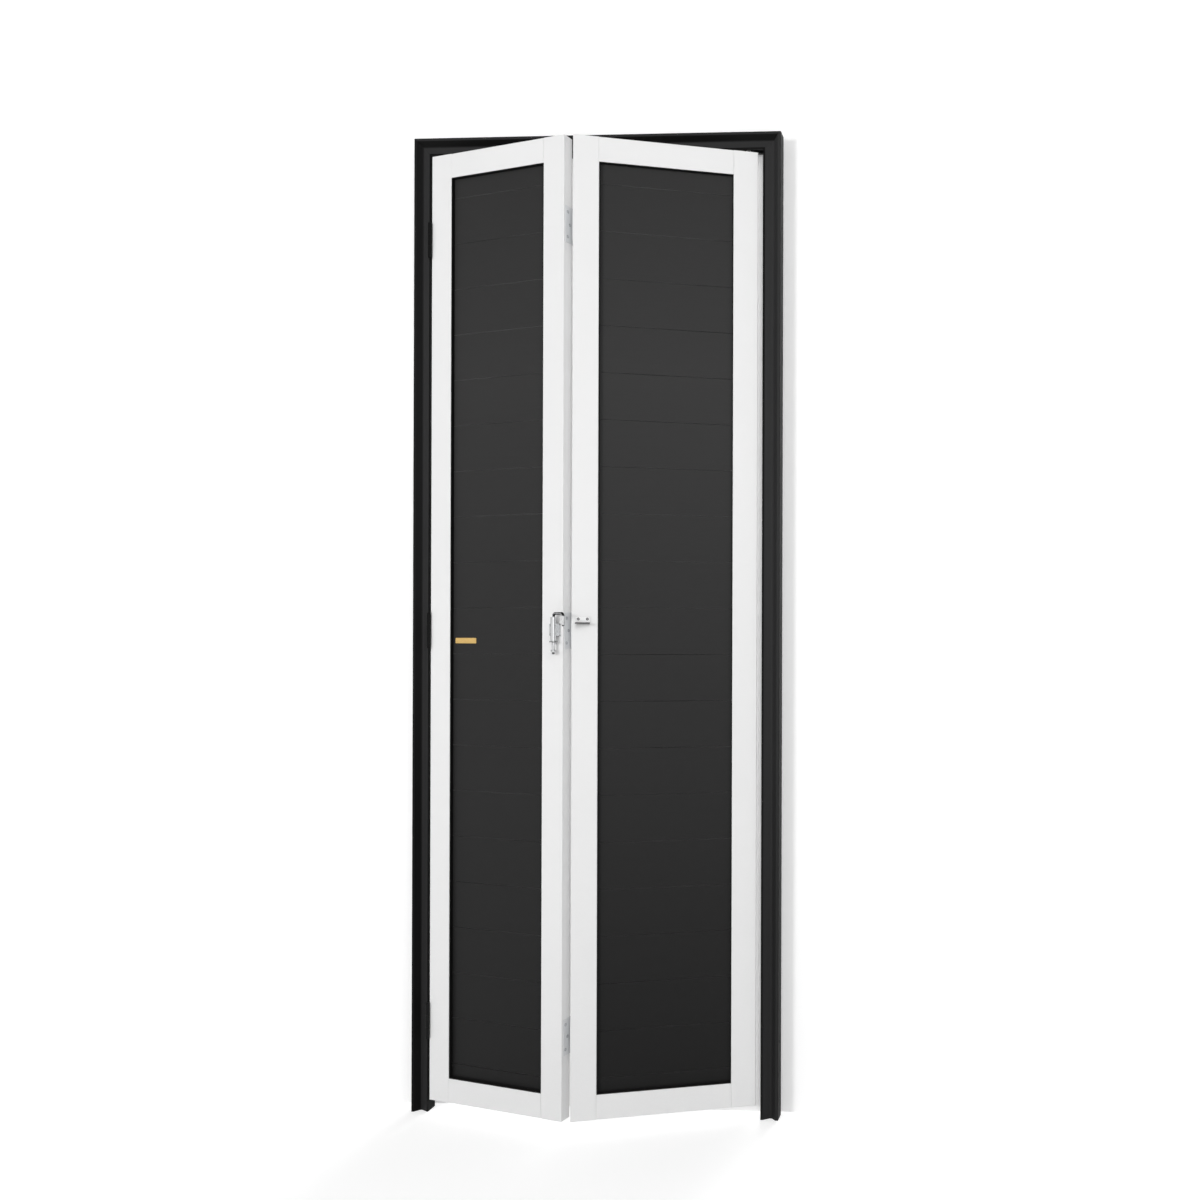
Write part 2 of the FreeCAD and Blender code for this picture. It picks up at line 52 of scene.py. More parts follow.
def shader_group(name, inputs, outputs):
    group = bpy.data.node_groups.new(name, "ShaderNodeTree")
    for label, kind, value in inputs:
        made = group.interface.new_socket(name=label, in_out="INPUT", socket_type=kind)
        made.default_value = value
    for label, kind in outputs:
        group.interface.new_socket(name=label, in_out="OUTPUT", socket_type=kind)
    start = group.nodes.new("NodeGroupInput")
    end = group.nodes.new("NodeGroupOutput")
    return group, start, end


def math_node(tree, kind, a, b=None, c=None, clamp=False):
    node = tree.nodes.new("ShaderNodeMath")
    node.operation = kind
    node.use_clamp = clamp
    for i, value in enumerate((a, b, c)):
        if value is None:
            continue
        if isinstance(value, bpy.types.NodeSocket):
            tree.links.new(value, node.inputs[i])
        else:
            node.inputs[i].default_value = value
    return node.outputs[0]


def noise_node(tree, place, scale, detail, rough):
    node = tree.nodes.new("ShaderNodeTexNoise")
    node.inputs["Detail"].default_value = detail
    node.inputs["Roughness"].default_value = rough
    if isinstance(scale, bpy.types.NodeSocket):
        tree.links.new(scale, node.inputs["Scale"])
    else:
        node.inputs["Scale"].default_value = scale
    tree.links.new(place, node.inputs["Vector"])
    return node.outputs[0]


def smooth_step(tree, value, start, end, low, high):
    node = tree.nodes.new("ShaderNodeMapRange")
    node.interpolation_type = "SMOOTHSTEP"
    for label, given in (("From Min", start), ("From Max", end), ("To Min", low), ("To Max", high)):
        node.inputs[label].default_value = given
    tree.links.new(value, node.inputs["Value"])
    return node.outputs["Result"]


def parts_of(tree, vector):
    """The X, Y and Z of a place or a direction."""
    node = tree.nodes.new("ShaderNodeSeparateXYZ")
    tree.links.new(vector, node.inputs[0])
    return node.outputs


def object_place(tree):
    return tree.nodes.new("ShaderNodeTexCoord").outputs["Object"]


def surface(tree, kind="Normal"):
    return tree.nodes.new("ShaderNodeNewGeometry").outputs[kind]


# Coat grain: a fine pebbled height, a slow mottle and a thin film of dust that
# gathers low down and on faces that look up. Where the low band reaches high,
# as on the white coat, it is painted shade that darkens the coat towards the floor.
dust_low_down, dust_on_top = 0.35, 0.6         # most that gathers in either place
coat_grain, grain_in, grain_out = shader_group(
    "coat grain",
    [("Grain Scale", "NodeSocketFloat", 900.0), ("Mottle Scale", "NodeSocketFloat", 9.0),
     ("Dust And Shade Height", "NodeSocketFloat", 0.35)],
    [("Grain", "NodeSocketFloat"), ("Mottle", "NodeSocketFloat"), ("Dust", "NodeSocketFloat")])
place = object_place(coat_grain)
pebble = noise_node(coat_grain, place, grain_in.outputs["Grain Scale"], detail=2.0, rough=0.55)
mottle = noise_node(coat_grain, place, grain_in.outputs["Mottle Scale"], detail=4.0, rough=0.6)
speck = noise_node(coat_grain, place, scale=240.0, detail=3.0, rough=0.7)
low = math_node(coat_grain, "DIVIDE", parts_of(coat_grain, place)["Z"], grain_in.outputs["Dust And Shade Height"])
low = math_node(coat_grain, "SUBTRACT", 1.0, low, clamp=True)
low = math_node(coat_grain, "MULTIPLY", low, dust_low_down)
upward = parts_of(coat_grain, surface(coat_grain))["Z"]
top = math_node(coat_grain, "MULTIPLY", upward, dust_on_top, clamp=True)
gather = math_node(coat_grain, "MAXIMUM", low, top)
dust = math_node(coat_grain, "MULTIPLY", gather, speck, clamp=True)
for label, made in (("Grain", pebble), ("Mottle", mottle), ("Dust", dust)):
    coat_grain.links.new(made, grain_out.inputs[label])

# Edge wear: rounds the shading of sharp edges and marks a thin rubbed line
# along them, broken up by noise.
edge_sharpness = 5.0                           # how soon a turned normal counts as an edge
edge_wear, wear_in, wear_out = shader_group(
    "edge wear",
    [("Edge Radius", "NodeSocketFloat", 0.0006), ("Break Up", "NodeSocketFloat", 160.0)],
    [("Edge", "NodeSocketFloat"), ("Rounded", "NodeSocketVector")])
bevel = edge_wear.nodes.new("ShaderNodeBevel")
bevel.samples = 4
edge_wear.links.new(wear_in.outputs["Edge Radius"], bevel.inputs["Radius"])
turn = edge_wear.nodes.new("ShaderNodeVectorMath")
turn.operation = "DOT_PRODUCT"
edge_wear.links.new(bevel.outputs[0], turn.inputs[0])
edge_wear.links.new(surface(edge_wear), turn.inputs[1])
bend = math_node(edge_wear, "SUBTRACT", 1.0, turn.outputs["Value"], clamp=True)
bend = math_node(edge_wear, "MULTIPLY", bend, edge_sharpness, clamp=True)
broken = noise_node(edge_wear, object_place(edge_wear), wear_in.outputs["Break Up"],
                    detail=3.0, rough=0.65)
edge_wear.links.new(math_node(edge_wear, "MULTIPLY", bend, broken, clamp=True), wear_out.inputs["Edge"])
edge_wear.links.new(bevel.outputs[0], wear_out.inputs["Rounded"])


def mix_colour(tree, mask, a, b):
    node = tree.nodes.new("ShaderNodeMix")
    node.data_type = "RGBA"
    tree.links.new(mask, node.inputs["Factor"])
    for socket, value in ((node.inputs["A"], a), (node.inputs["B"], b)):
        if isinstance(value, bpy.types.NodeSocket):
            tree.links.new(value, socket)
        else:
            socket.default_value = (*value, 1.0)
    return node.outputs["Result"]


def new_skin(name, edge_radius):
    """A material, its tree, its shader's inputs and the edge wear at one radius."""
    made = bpy.data.materials.new(name)
    made.use_nodes = True
    tree = made.node_tree
    edge = tree.nodes.new("ShaderNodeGroup")
    edge.node_tree = edge_wear
    edge.inputs["Edge Radius"].default_value = edge_radius
    return made, tree, tree.nodes["Principled BSDF"].inputs, edge.outputs


def grain_of(tree, grain_scale, mottle_scale, dust_and_shade_height=0.35):
    grain = tree.nodes.new("ShaderNodeGroup")
    grain.node_tree = coat_grain
    grain.inputs["Grain Scale"].default_value = grain_scale
    grain.inputs["Mottle Scale"].default_value = mottle_scale
    grain.inputs["Dust And Shade Height"].default_value = dust_and_shade_height
    return grain.outputs


def relief(tree, skin, height, depth, rounded):
    bump = tree.nodes.new("ShaderNodeBump")
    bump.inputs["Distance"].default_value = depth
    tree.links.new(height, bump.inputs["Height"])
    tree.links.new(rounded, bump.inputs["Normal"])
    tree.links.new(bump.outputs[0], skin["Normal"])


mottle_shine, dust_shine = 0.12, 0.25          # what mottle and dust add to the roughness


def grey(level):
    return (level, level, level)


def coated(name, dark, light, dusty, worn, rough, grain_scale=900.0, grain_depth=0.00002,
           edge_radius=0.0006, wear=0.5, metallic=0.0, mottle_scale=9.0, gloss=0.5, dust_and_shade_height=0.35):
    """A coated or moulded finish: two close tones, dust that becomes painted shade low down where its height
    is raised, worn edges and a pebbled bump.
    """
    made, tree, skin, edge = new_skin(name, edge_radius)
    grain = grain_of(tree, grain_scale, mottle_scale, dust_and_shade_height)
    tone = mix_colour(tree, grain["Mottle"], dark, light)
    tone = mix_colour(tree, grain["Dust"], tone, dusty)
    rubbed = math_node(tree, "MULTIPLY", edge["Edge"], wear, clamp=True)
    tone = mix_colour(tree, rubbed, tone, worn)
    tree.links.new(tone, skin["Base Color"])
    shine = math_node(tree, "MULTIPLY_ADD", grain["Mottle"], mottle_shine, rough - mottle_shine / 2)
    shine = math_node(tree, "MULTIPLY_ADD", grain["Dust"], dust_shine, shine, clamp=True)
    tree.links.new(shine, skin["Roughness"])
    relief(tree, skin, grain["Grain"], grain_depth, edge["Rounded"])
    skin["Metallic"].default_value = metallic
    skin["Specular IOR Level"].default_value = gloss
    return made


def lay_over(material, mask, tone):
    """Lays one more tone over the colour that a material already has."""
    tree = material.node_tree
    colour = tree.nodes["Principled BSDF"].inputs["Base Color"]
    tree.links.new(mix_colour(tree, mask, colour.links[0].from_socket, tone), colour)


def finish_nodes(names, material):
    for name in names:
        mesh = nodes[name].data
        if len(mesh.materials) == 0:
            mesh.materials.append(material)
        for i in range(len(mesh.materials)):
            mesh.materials[i] = material


on_frame = Matrix.Identity(4)


def node_box(name, turn=on_frame):
    """A node's lowest and highest corner to the micrometre, with its leaf's turn undone."""
    back = turn.inverted()
    points = [back @ vertex.co for vertex in nodes[name].data.vertices]
    return [[round(pick(point[i] for point in points), 6) for i in range(3)] for pick in (min, max)]


# Painted shade darkens the coat down in the cove, on the lip beyond it, on the
# outer side, towards the floor and on the faces that look into the opening.
# Places across the section are measured outwards from the opening.
opening_half, opening_high = -node_box("left_jamb")[1][0], node_box("head")[0][2]
casing_wide = node_box("right_jamb")[1][0] - opening_half
reveal_from, reveal_to, reveal_shade = 0.0003, 0.0009, 0.7
cove_from, cove_to = 0.020, 0.031
cove_edge, lip_edge = 0.002, 0.001             # half the width over which each starts
side_from, side_to = casing_wide - 0.0008, casing_wide - 0.0002
floor_from, floor_to, floor_shade = -0.2, 1.5, 0.5
shadow_tone = grey(0.001)


def painted_shade_frame_coat(name, cove, lip, outer):
    made = coated(name, dark=(0.0285, 0.0285, 0.029), light=(0.034, 0.034, 0.0345), dusty=grey(0.06),
                  worn=grey(0.05), rough=0.5, grain_depth=0.00003, edge_radius=0.0010, wear=0.05, gloss=0.1)
    tree = made.node_tree
    spot = parts_of(tree, object_place(tree))
    aside = math_node(tree, "SUBTRACT", math_node(tree, "ABSOLUTE", spot["X"]), opening_half)
    outward = math_node(tree, "MAXIMUM", aside, math_node(tree, "SUBTRACT", spot["Z"], opening_high))
    shade = smooth_step(tree, outward, reveal_from, reveal_to, reveal_shade, 0.0)
    for across, start, end, low_side, high_side in (
            (outward, cove_from - cove_edge, cove_from + cove_edge, 0.0, cove),
            (outward, cove_to - lip_edge, cove_to + lip_edge, 0.0, lip - cove),
            (outward, side_from, side_to, 0.0, outer),
            (spot["Z"], floor_from, floor_to, floor_shade, 0.0)):
        shade = math_node(tree, "ADD", shade, smooth_step(tree, across, start, end, low_side, high_side))
    lay_over(made, math_node(tree, "MINIMUM", shade, 1.0), shadow_tone)
    return made


# Each jamb and the head get their own copy of the coat, with painted shade in the amounts that light from one
# side gives them.
finish_nodes(["left_jamb"], painted_shade_frame_coat("charcoal powder coat with painted shade, left jamb", cove=0.75, lip=0.70, outer=0.1))
finish_nodes(["right_jamb", "jamb_caps"],
             painted_shade_frame_coat("charcoal powder coat with painted shade, right jamb", cove=0.10, lip=0.0, outer=0.75))
finish_nodes(["head"], painted_shade_frame_coat("charcoal powder coat with painted shade, head", cove=0.94, lip=0.2, outer=0.4))


# Opening seal

# A black rubber strip lies in the small step round the opening, along both
# jambs and the head. Its rounded top stays just below the frame's face.
seal_back_y = node_box("jamb_caps")[1][1]      # the caps sit on the same face
seal_lip = 0.0018                              # how far it stands into the opening at the head and free jamb
seal_width = 0.0027
seal_foot = 0.0005
seal_section = [(0.0001, 0.0), (0.0001, 0.0009), (0.0006, 0.0015), (0.0014, 0.0017),
                (0.0022, 0.0015), (seal_width, 0.0009), (seal_width, 0.0)]


def tube_faces(count, rings):
    """The faces between rings of points, with the first and the last ring closed."""
    faces = []
    for s in range(rings - 1):
        for i in range(count):
            j = (i + 1) % count
            faces.append((s * count + i, s * count + j, (s + 1) * count + j, (s + 1) * count + i))
    faces.append(tuple(range(count))[::-1])
    faces.append(tuple(range((rings - 1) * count, rings * count)))
    return faces


def linked_piece(name, data):
    piece = bpy.data.objects.new(name, data)
    bpy.context.scene.collection.objects.link(piece)
    return piece


def solid_piece(name, verts, faces, material):
    mesh = bpy.data.meshes.new(name)
    mesh.from_pydata(verts, [], faces)
    shape = bmesh.new()
    shape.from_mesh(mesh)
    bmesh.ops.recalc_face_normals(shape, faces=shape.faces)
    shape.to_mesh(mesh)
    shape.free()
    mesh.materials.append(material)
    return linked_piece(name, mesh)


def seal_strip(material):
    verts = []
    stations = [(-1, 0.0, 0.0), (-1, 1.0, seal_lip), (1, 1.0, seal_lip), (1, 0.0, seal_lip)]
    for side, high, lip in stations:
        for out, rise in seal_section:
            side_out = out if side < 0 else out - seal_lip * (1 - out / seal_width)
            head_out = out - lip * (1 - out / seal_width)
            x = side * (opening_half + side_out)
            z = opening_high + head_out if high else seal_foot
            verts.append((x, seal_back_y - rise, z))
    return solid_piece("opening_seal", verts, tube_faces(len(seal_section), len(stations)), material)


seal_rubber = coated("black seal rubber", dark=grey(0.002), light=grey(0.0035), dusty=(0.02, 0.02, 0.019),
                     worn=grey(0.008), rough=0.6, grain_scale=1400.0, edge_radius=0.0003, wear=0.2,
                     gloss=0.15)
seal = seal_strip(seal_rubber)
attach(seal, "frame")


# Corner keys and rail cleats

# Cast alloy blocks hold the mitred frame corners and key the rails to the
# stiles. They sit inside the hollow sections and show only at an open end.
cast_alloy = coated("cast alloy", dark=(0.38, 0.38, 0.39), light=(0.52, 0.52, 0.53),
                    dusty=(0.3, 0.29, 0.27), worn=grey(0.75), rough=0.45, grain_scale=500.0,
                    grain_depth=0.00006, metallic=1.0)
finish_nodes(["frame_cleat_left", "frame_cleat_right", "left_leaf_cleats", "right_leaf_cleats"],
             cast_alloy)


# Guide track

# An open alloy channel, anodised black, let into the underside of the head.
# The extrusion's drawn lines run along it.
line_depth = 0.00001
edge_share, toned_edge_share = 0.6, 1.4
edge_lift = 1.35                               # of the light tone, on edges with no tone of their own
cloud_shine = 0.2                              # what a cloud of dullness adds to the roughness


def drawn_metal(name, dark, light, rough, stretch=60.0, fine=900.0, edge_tone=None,
                edge_radius=0.0004, metallic=1.0):
    """Bare metal with fine lines along X, brighter on its edges or in a tone of their own."""
    made, tree, skin, edge = new_skin(name, edge_radius)
    spot = object_place(tree)
    mapping = tree.nodes.new("ShaderNodeMapping")
    mapping.inputs["Scale"].default_value = (1.0 / stretch, 1.0, 1.0)
    tree.links.new(spot, mapping.inputs["Vector"])
    lines = noise_node(tree, mapping.outputs[0], fine, detail=3.0, rough=0.6)
    cloud = noise_node(tree, spot, scale=22.0, detail=3.0, rough=0.5)
    share = toned_edge_share if edge_tone else edge_share
    tone = mix_colour(tree, lines, dark, light)
    tone = mix_colour(tree, math_node(tree, "MULTIPLY", edge["Edge"], share, clamp=True), tone,
                      edge_tone or tuple(min(1.0, level * edge_lift) for level in light))
    tree.links.new(tone, skin["Base Color"])
    shine = math_node(tree, "MULTIPLY_ADD", cloud, cloud_shine, rough - cloud_shine / 2, clamp=True)
    tree.links.new(shine, skin["Roughness"])
    relief(tree, skin, lines, line_depth, edge["Rounded"])
    skin["Metallic"].default_value = metallic
    return made


track_alloy = drawn_metal("black anodised track", dark=(0.012, 0.012, 0.013), light=(0.022, 0.022, 0.023),
                          rough=0.42, edge_tone=grey(0.05), metallic=0.4)
finish_nodes(["guide_track"], track_alloy)


# Stiles and rails

# Both leaves are framed in rectangular tube with a smooth white satin coat.
# The stiles run full height and the rails butt between them.
# Below about 1.2 m the coat's dusty tone is painted shade that darkens it towards the floor.
white_coat = coated("white satin coat", dark=grey(0.80), light=grey(0.835), dusty=grey(0.70),
                    worn=grey(0.88), rough=0.40, grain_scale=700.0, grain_depth=0.000012,
                    edge_radius=0.0009, wear=0.25, mottle_scale=4.0, dust_and_shade_height=1.2)
leaf_members = ["outer_stile", "meeting_stile", "top_rail", "bottom_rail"]
finish_nodes([leaf + "_leaf_" + member for leaf in ("left", "right") for member in leaf_members], white_coat)


# Tongued boards

# Charcoal boards lie across each leaf, tongue in groove with a small bevelled
# joint. Their matte skin has a faint grain that runs along each board.
# Painted shade darkens the boards towards the floor and a little below the head.
board_dark, board_light = (0.030, 0.0297, 0.0297), (0.037, 0.0367, 0.0367)
board_painted_shade_tone = grey(0.0020)                  # painted shade towards the floor and a little below the head
board_dust_tone, board_edge_tone = grey(0.06), grey(0.11)
board_joint_light_tone = grey(0.085)                 # painted light on the joints' bevels, which lifts the shade in them
streak_squeeze = (2.0, 2.0, 60.0)              # makes the streaks long and low
low_fade, high_rise = (-0.62, 1.0), (0.45, -0.70)        # each per metre of height, and at the floor
low_share, dust_share, rubbed_share = 0.92, 0.1, 1.3
bevel_pick, patch_pick = (3.0, -0.6), (4.0, -1.45)       # slope and start that single them out
joint_light_loss = 0.85
board_roughness = (0.12, 0.44)                 # added by a streak, and without one
board_grain_share, board_relief = 0.4, 0.00003


def board_finish(name):
    made, tree, skin, edge = new_skin(name, edge_radius=0.0005)
    spot = object_place(tree)
    mapping = tree.nodes.new("ShaderNodeMapping")
    mapping.inputs["Scale"].default_value = streak_squeeze
    tree.links.new(spot, mapping.inputs["Vector"])
    streak = noise_node(tree, mapping.outputs[0], scale=9.0, detail=6.0, rough=0.65)
    grain = grain_of(tree, grain_scale=1100.0, mottle_scale=3.0)
    height = parts_of(tree, spot)["Z"]
    low_down = math_node(tree, "MULTIPLY_ADD", height, *low_fade, clamp=True)
    high_up = math_node(tree, "MULTIPLY_ADD", height, *high_rise, clamp=True)
    board_painted_shade = math_node(tree, "MAXIMUM", low_down, high_up)
    tone = mix_colour(tree, streak, board_dark, board_light)
    tone = mix_colour(tree, math_node(tree, "MULTIPLY", board_painted_shade, low_share), tone, board_painted_shade_tone)
    tone = mix_colour(tree, math_node(tree, "MULTIPLY", grain["Dust"], dust_share), tone, board_dust_tone)
    rubbed = math_node(tree, "MULTIPLY", edge["Edge"], rubbed_share, clamp=True)
    tone = mix_colour(tree, rubbed, tone, board_edge_tone)
    # Painted light on the joints' bevel faces, in patches and less where the painted shade lies, lifts the
    # shade in the joints.
    tilt = math_node(tree, "ABSOLUTE", parts_of(tree, surface(tree, "True Normal"))["Z"])
    bevelled = math_node(tree, "MULTIPLY_ADD", tilt, *bevel_pick, clamp=True)
    patch = noise_node(tree, spot, scale=4.5, detail=2.0, rough=0.5)
    patch = math_node(tree, "MULTIPLY_ADD", patch, *patch_pick, clamp=True)
    in_light = math_node(tree, "MULTIPLY_ADD", board_painted_shade, -joint_light_loss, 1.0)
    painted_joint_light = math_node(tree, "MULTIPLY", math_node(tree, "MULTIPLY", bevelled, patch), in_light)
    tone = mix_colour(tree, painted_joint_light, tone, board_joint_light_tone)
    tree.links.new(tone, skin["Base Color"])
    shine = math_node(tree, "MULTIPLY_ADD", streak, *board_roughness, clamp=True)
    tree.links.new(shine, skin["Roughness"])
    skin["Specular IOR Level"].default_value = 0.16
    fine = math_node(tree, "MULTIPLY", grain["Grain"], board_grain_share)
    relief(tree, skin, math_node(tree, "MULTIPLY_ADD", streak, 1.0, fine), board_relief, edge["Rounded"])
    return made


finish_nodes(["left_leaf_boards", "right_leaf_boards"], board_finish("charcoal board skin"))


# Black bead

# A soft black glazing bead lines the four edges round the boards and closes
# the joint between them and the white tube.
bead_rubber = coated("black bead", dark=grey(0.002), light=grey(0.004), dusty=(0.03, 0.03, 0.028),
                     worn=grey(0.012), rough=0.55, grain_scale=1500.0, edge_radius=0.0004, wear=0.2,
                     gloss=0.2)
finish_nodes(["left_leaf_bead", "right_leaf_bead"], bead_rubber)


# End plugs and guide block

# White moulded plugs close the ends of the stiles. The one at the free top
# corner is deeper and carries the guide pin.
plug_plastic = coated("white moulded plug", dark=(0.70, 0.70, 0.69), light=(0.76, 0.76, 0.75),
                      dusty=(0.5, 0.49, 0.47), worn=(0.82, 0.82, 0.81), rough=0.5, grain_scale=1200.0)
finish_nodes(["left_leaf_end_plugs", "right_leaf_end_plugs", "guide_block"], plug_plastic)


# Guide pin and roller

# A blackened steel pin with a shoulder stands up from the guide block. A small
# nylon roller turns on it and runs in the track.
black_steel = coated("blackened steel", dark=(0.012, 0.012, 0.013), light=(0.018, 0.018, 0.019),
                     dusty=grey(0.06), worn=(0.16, 0.16, 0.17), rough=0.36, grain_scale=1600.0,
                     grain_depth=0.00001, edge_radius=0.0003, metallic=0.4)
nylon = coated("natural nylon", dark=(0.68, 0.67, 0.62), light=(0.74, 0.73, 0.68), dusty=(0.4, 0.39, 0.36),
               worn=(0.8, 0.79, 0.75), rough=0.42, grain_scale=1400.0, grain_depth=0.00001,
               edge_radius=0.0003)
finish_nodes(["guide_pin"], black_steel)
finish_nodes(["guide_roller"], nylon)


# Jamb hinges

# Three black butt hinges carry the left leaf on the left jamb. Each half is a
# stamped plate rolled round the pin and held by three countersunk screws.
hinge_black = coated("black hinge coat", dark=grey(0.002), light=grey(0.004), dusty=grey(0.04),
                     worn=(0.05, 0.05, 0.052), rough=0.42, grain_scale=1300.0, edge_radius=0.0004,
                     wear=0.2, gloss=0.12)
hinge_levels = ("upper", "middle", "lower")
finish_nodes(["jamb_hinge_" + level + "_" + part for level in hinge_levels
              for part in ("fixed", "pin", "moving")], hinge_black)


def about(pin, angle):
    return Matrix.Translation(pin) @ Matrix.Rotation(angle, 4, "Z") @ Matrix.Translation(-pin)


def middle_of(name, turn=on_frame):
    low, high = node_box(name, turn)
    return [(a + b) / 2 for a, b in zip(low, high)]


# The door was drawn shut and then folded, each leaf by the same angle, so a
# place on a leaf is given in the shut door and turned about the hinge pins.
joints = {joint["name"]: joint for joint in frame["joints"]}
fold_angle = math.radians(joints["left_leaf_hinge"]["range_deg"][1])      # from here to shut
jamb_pin = Vector(joints["left_leaf_hinge"]["pos_m"])
on_left = about(jamb_pin, -fold_angle)
fold_pin = Vector(middle_of("fold_hinge_middle_pin", on_left))
on_right = on_left @ about(fold_pin, 2 * fold_angle)


def tree_socket(tree, label, kind, value=None):
    made = tree.interface.new_socket(name=label, in_out="INPUT", socket_type=kind)
    if value is not None:
        made.default_value = value


screw_sides = 28
screw_foot_share, screw_flat_share = 0.5, 0.72           # of the head's radius, below and on top
dome_sink_share = 0.02                                   # of the dome's height
recess_long_share, recess_deep_share = 1.15, 1.1         # of the head's radius and height
screw_height_share, recess_width_share = 0.5, 0.24       # of the head's radius


def screw_tree():
    """Countersunk screw heads with a cross recess, one on each point given."""
    tree = bpy.data.node_groups.new("cross recess screws", "GeometryNodeTree")
    tree_socket(tree, "Geometry", "NodeSocketGeometry")
    tree_socket(tree, "Head Radius", "NodeSocketFloat", 0.003)
    tree_socket(tree, "Head Height", "NodeSocketFloat", 0.0016)
    tree_socket(tree, "Dome Height", "NodeSocketFloat", 0.0003)
    tree_socket(tree, "Recess Width", "NodeSocketFloat", 0.0007)
    tree_socket(tree, "Seed", "NodeSocketInt", 3)
    tree_socket(tree, "Finish", "NodeSocketMaterial")
    tree.interface.new_socket(name="Geometry", in_out="OUTPUT", socket_type="NodeSocketGeometry")
    link = tree.links.new
    given = tree.nodes.new("NodeGroupInput").outputs
    out = tree.nodes.new("NodeGroupOutput")

    def sized(**sides):
        node = tree.nodes.new("ShaderNodeCombineXYZ")
        for side, value in sides.items():
            link(value, node.inputs[side.upper()])
        return node.outputs[0]

    def cone(low, high, depth, lift):
        node = tree.nodes.new("GeometryNodeMeshCone")
        node.inputs["Vertices"].default_value = screw_sides
        link(low, node.inputs["Radius Bottom"])
        link(high, node.inputs["Radius Top"])
        link(depth, node.inputs["Depth"])
        move = tree.nodes.new("GeometryNodeTransform")
        link(node.outputs["Mesh"], move.inputs["Geometry"])
        link(sized(z=lift), move.inputs["Translation"])
        return move.outputs[0]

    radius = given["Head Radius"]
    sunk = cone(math_node(tree, "MULTIPLY", radius, screw_foot_share), radius, given["Head Height"],
                math_node(tree, "MULTIPLY", given["Head Height"], -1.0))
    dome = cone(radius, math_node(tree, "MULTIPLY", radius, screw_flat_share), given["Dome Height"],
                math_node(tree, "MULTIPLY", given["Dome Height"], -dome_sink_share))
    arm_long = math_node(tree, "MULTIPLY", radius, recess_long_share)
    arm_deep = math_node(tree, "MULTIPLY", given["Head Height"], recess_deep_share)
    arms = []
    for wide, tall in ((arm_long, given["Recess Width"]), (given["Recess Width"], arm_long)):
        bar = tree.nodes.new("GeometryNodeMeshCube")
        link(sized(x=wide, y=tall, z=arm_deep), bar.inputs["Size"])
        arms.append(bar.outputs["Mesh"])
    head = tree.nodes.new("GeometryNodeMeshBoolean")
    head.operation = "UNION"
    link(sunk, head.inputs["Mesh 2"])
    link(dome, head.inputs["Mesh 2"])
    cut = tree.nodes.new("GeometryNodeMeshBoolean")
    cut.operation = "DIFFERENCE"
    link(head.outputs["Mesh"], cut.inputs["Mesh 1"])
    for arm in arms:
        link(arm, cut.inputs["Mesh 2"])
    facing = tree.nodes.new("GeometryNodeInputNamedAttribute")
    facing.data_type = "FLOAT_VECTOR"
    facing.inputs["Name"].default_value = "facing"
    align = tree.nodes.new("FunctionNodeAlignRotationToVector")
    align.axis = "Z"
    link(facing.outputs["Attribute"], align.inputs["Vector"])
    spin = tree.nodes.new("FunctionNodeRandomValue")
    spin.data_type = "FLOAT"
    spin.inputs["Max"].default_value = math.pi
    link(given["Seed"], spin.inputs["Seed"])
    turned = tree.nodes.new("FunctionNodeAxisAngleToRotation")
    turned.inputs["Axis"].default_value = (0.0, 0.0, 1.0)
    link(spin.outputs["Value"], turned.inputs["Angle"])
    both = tree.nodes.new("FunctionNodeRotateRotation")
    both.rotation_space = "LOCAL"
    link(align.outputs[0], both.inputs[0])
    link(turned.outputs[0], both.inputs[1])
    put = tree.nodes.new("GeometryNodeInstanceOnPoints")
    link(given["Geometry"], put.inputs["Points"])
    link(cut.outputs["Mesh"], put.inputs["Instance"])
    link(both.outputs[0], put.inputs["Rotation"])
    real = tree.nodes.new("GeometryNodeRealizeInstances")
    link(put.outputs[0], real.inputs[0])
    coat = tree.nodes.new("GeometryNodeSetMaterial")
    link(real.outputs[0], coat.inputs["Geometry"])
    link(given["Finish"], coat.inputs["Material"])
    link(coat.outputs[0], out.inputs[0])
    return tree


screw_heads = screw_tree()


def grown(name, points, facings, tree, values, material):
    """Runs a tree on marked points and keeps the result as a plain mesh at the origin."""
    seeds = bpy.data.meshes.new(name + " points")
    seeds.from_pydata([tuple(p) for p in points], [], [])
    mark = seeds.attributes.new("facing", "FLOAT_VECTOR", "POINT")
    for i, way in enumerate(facings):
        mark.data[i].vector = way
    holder = linked_piece(name + " points", seeds)
    growth = holder.modifiers.new(name, "NODES")
    growth.node_group = tree
    for item in tree.interface.items_tree:
        if item.item_type == "SOCKET" and item.in_out == "INPUT" and item.name in values:
            growth[item.identifier] = values[item.name]
    bpy.context.view_layer.update()
    ready = holder.evaluated_get(bpy.context.evaluated_depsgraph_get())
    mesh = bpy.data.meshes.new_from_object(ready)
    mesh.name = name
    holder.modifiers.remove(growth)
    bpy.data.objects.remove(holder)
    mesh.materials.clear()
    mesh.materials.append(material)
    for face in mesh.polygons:
        face.material_index = 0
    return linked_piece(name, mesh)


def screws(name, places, turn, body, material, head_radius, seed, dome):
    points = [turn @ Vector(p) for p, way in places]
    facings = [(turn.to_3x3() @ Vector(way)).normalized() for p, way in places]
    piece = grown(name, points, facings, screw_heads,
                  {"Head Radius": head_radius, "Head Height": head_radius * screw_height_share,
                   "Dome Height": dome, "Recess Width": head_radius * recess_width_share,
                   "Seed": seed, "Finish": material}, material)
    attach(piece, body)


hinge_heights = [middle_of("jamb_hinge_" + level + "_pin")[2] for level in hinge_levels]
hinge_screw_rows = ((0.026, 0.018), (0.0, 0.012), (-0.026, 0.018))      # rise, distance from the pin


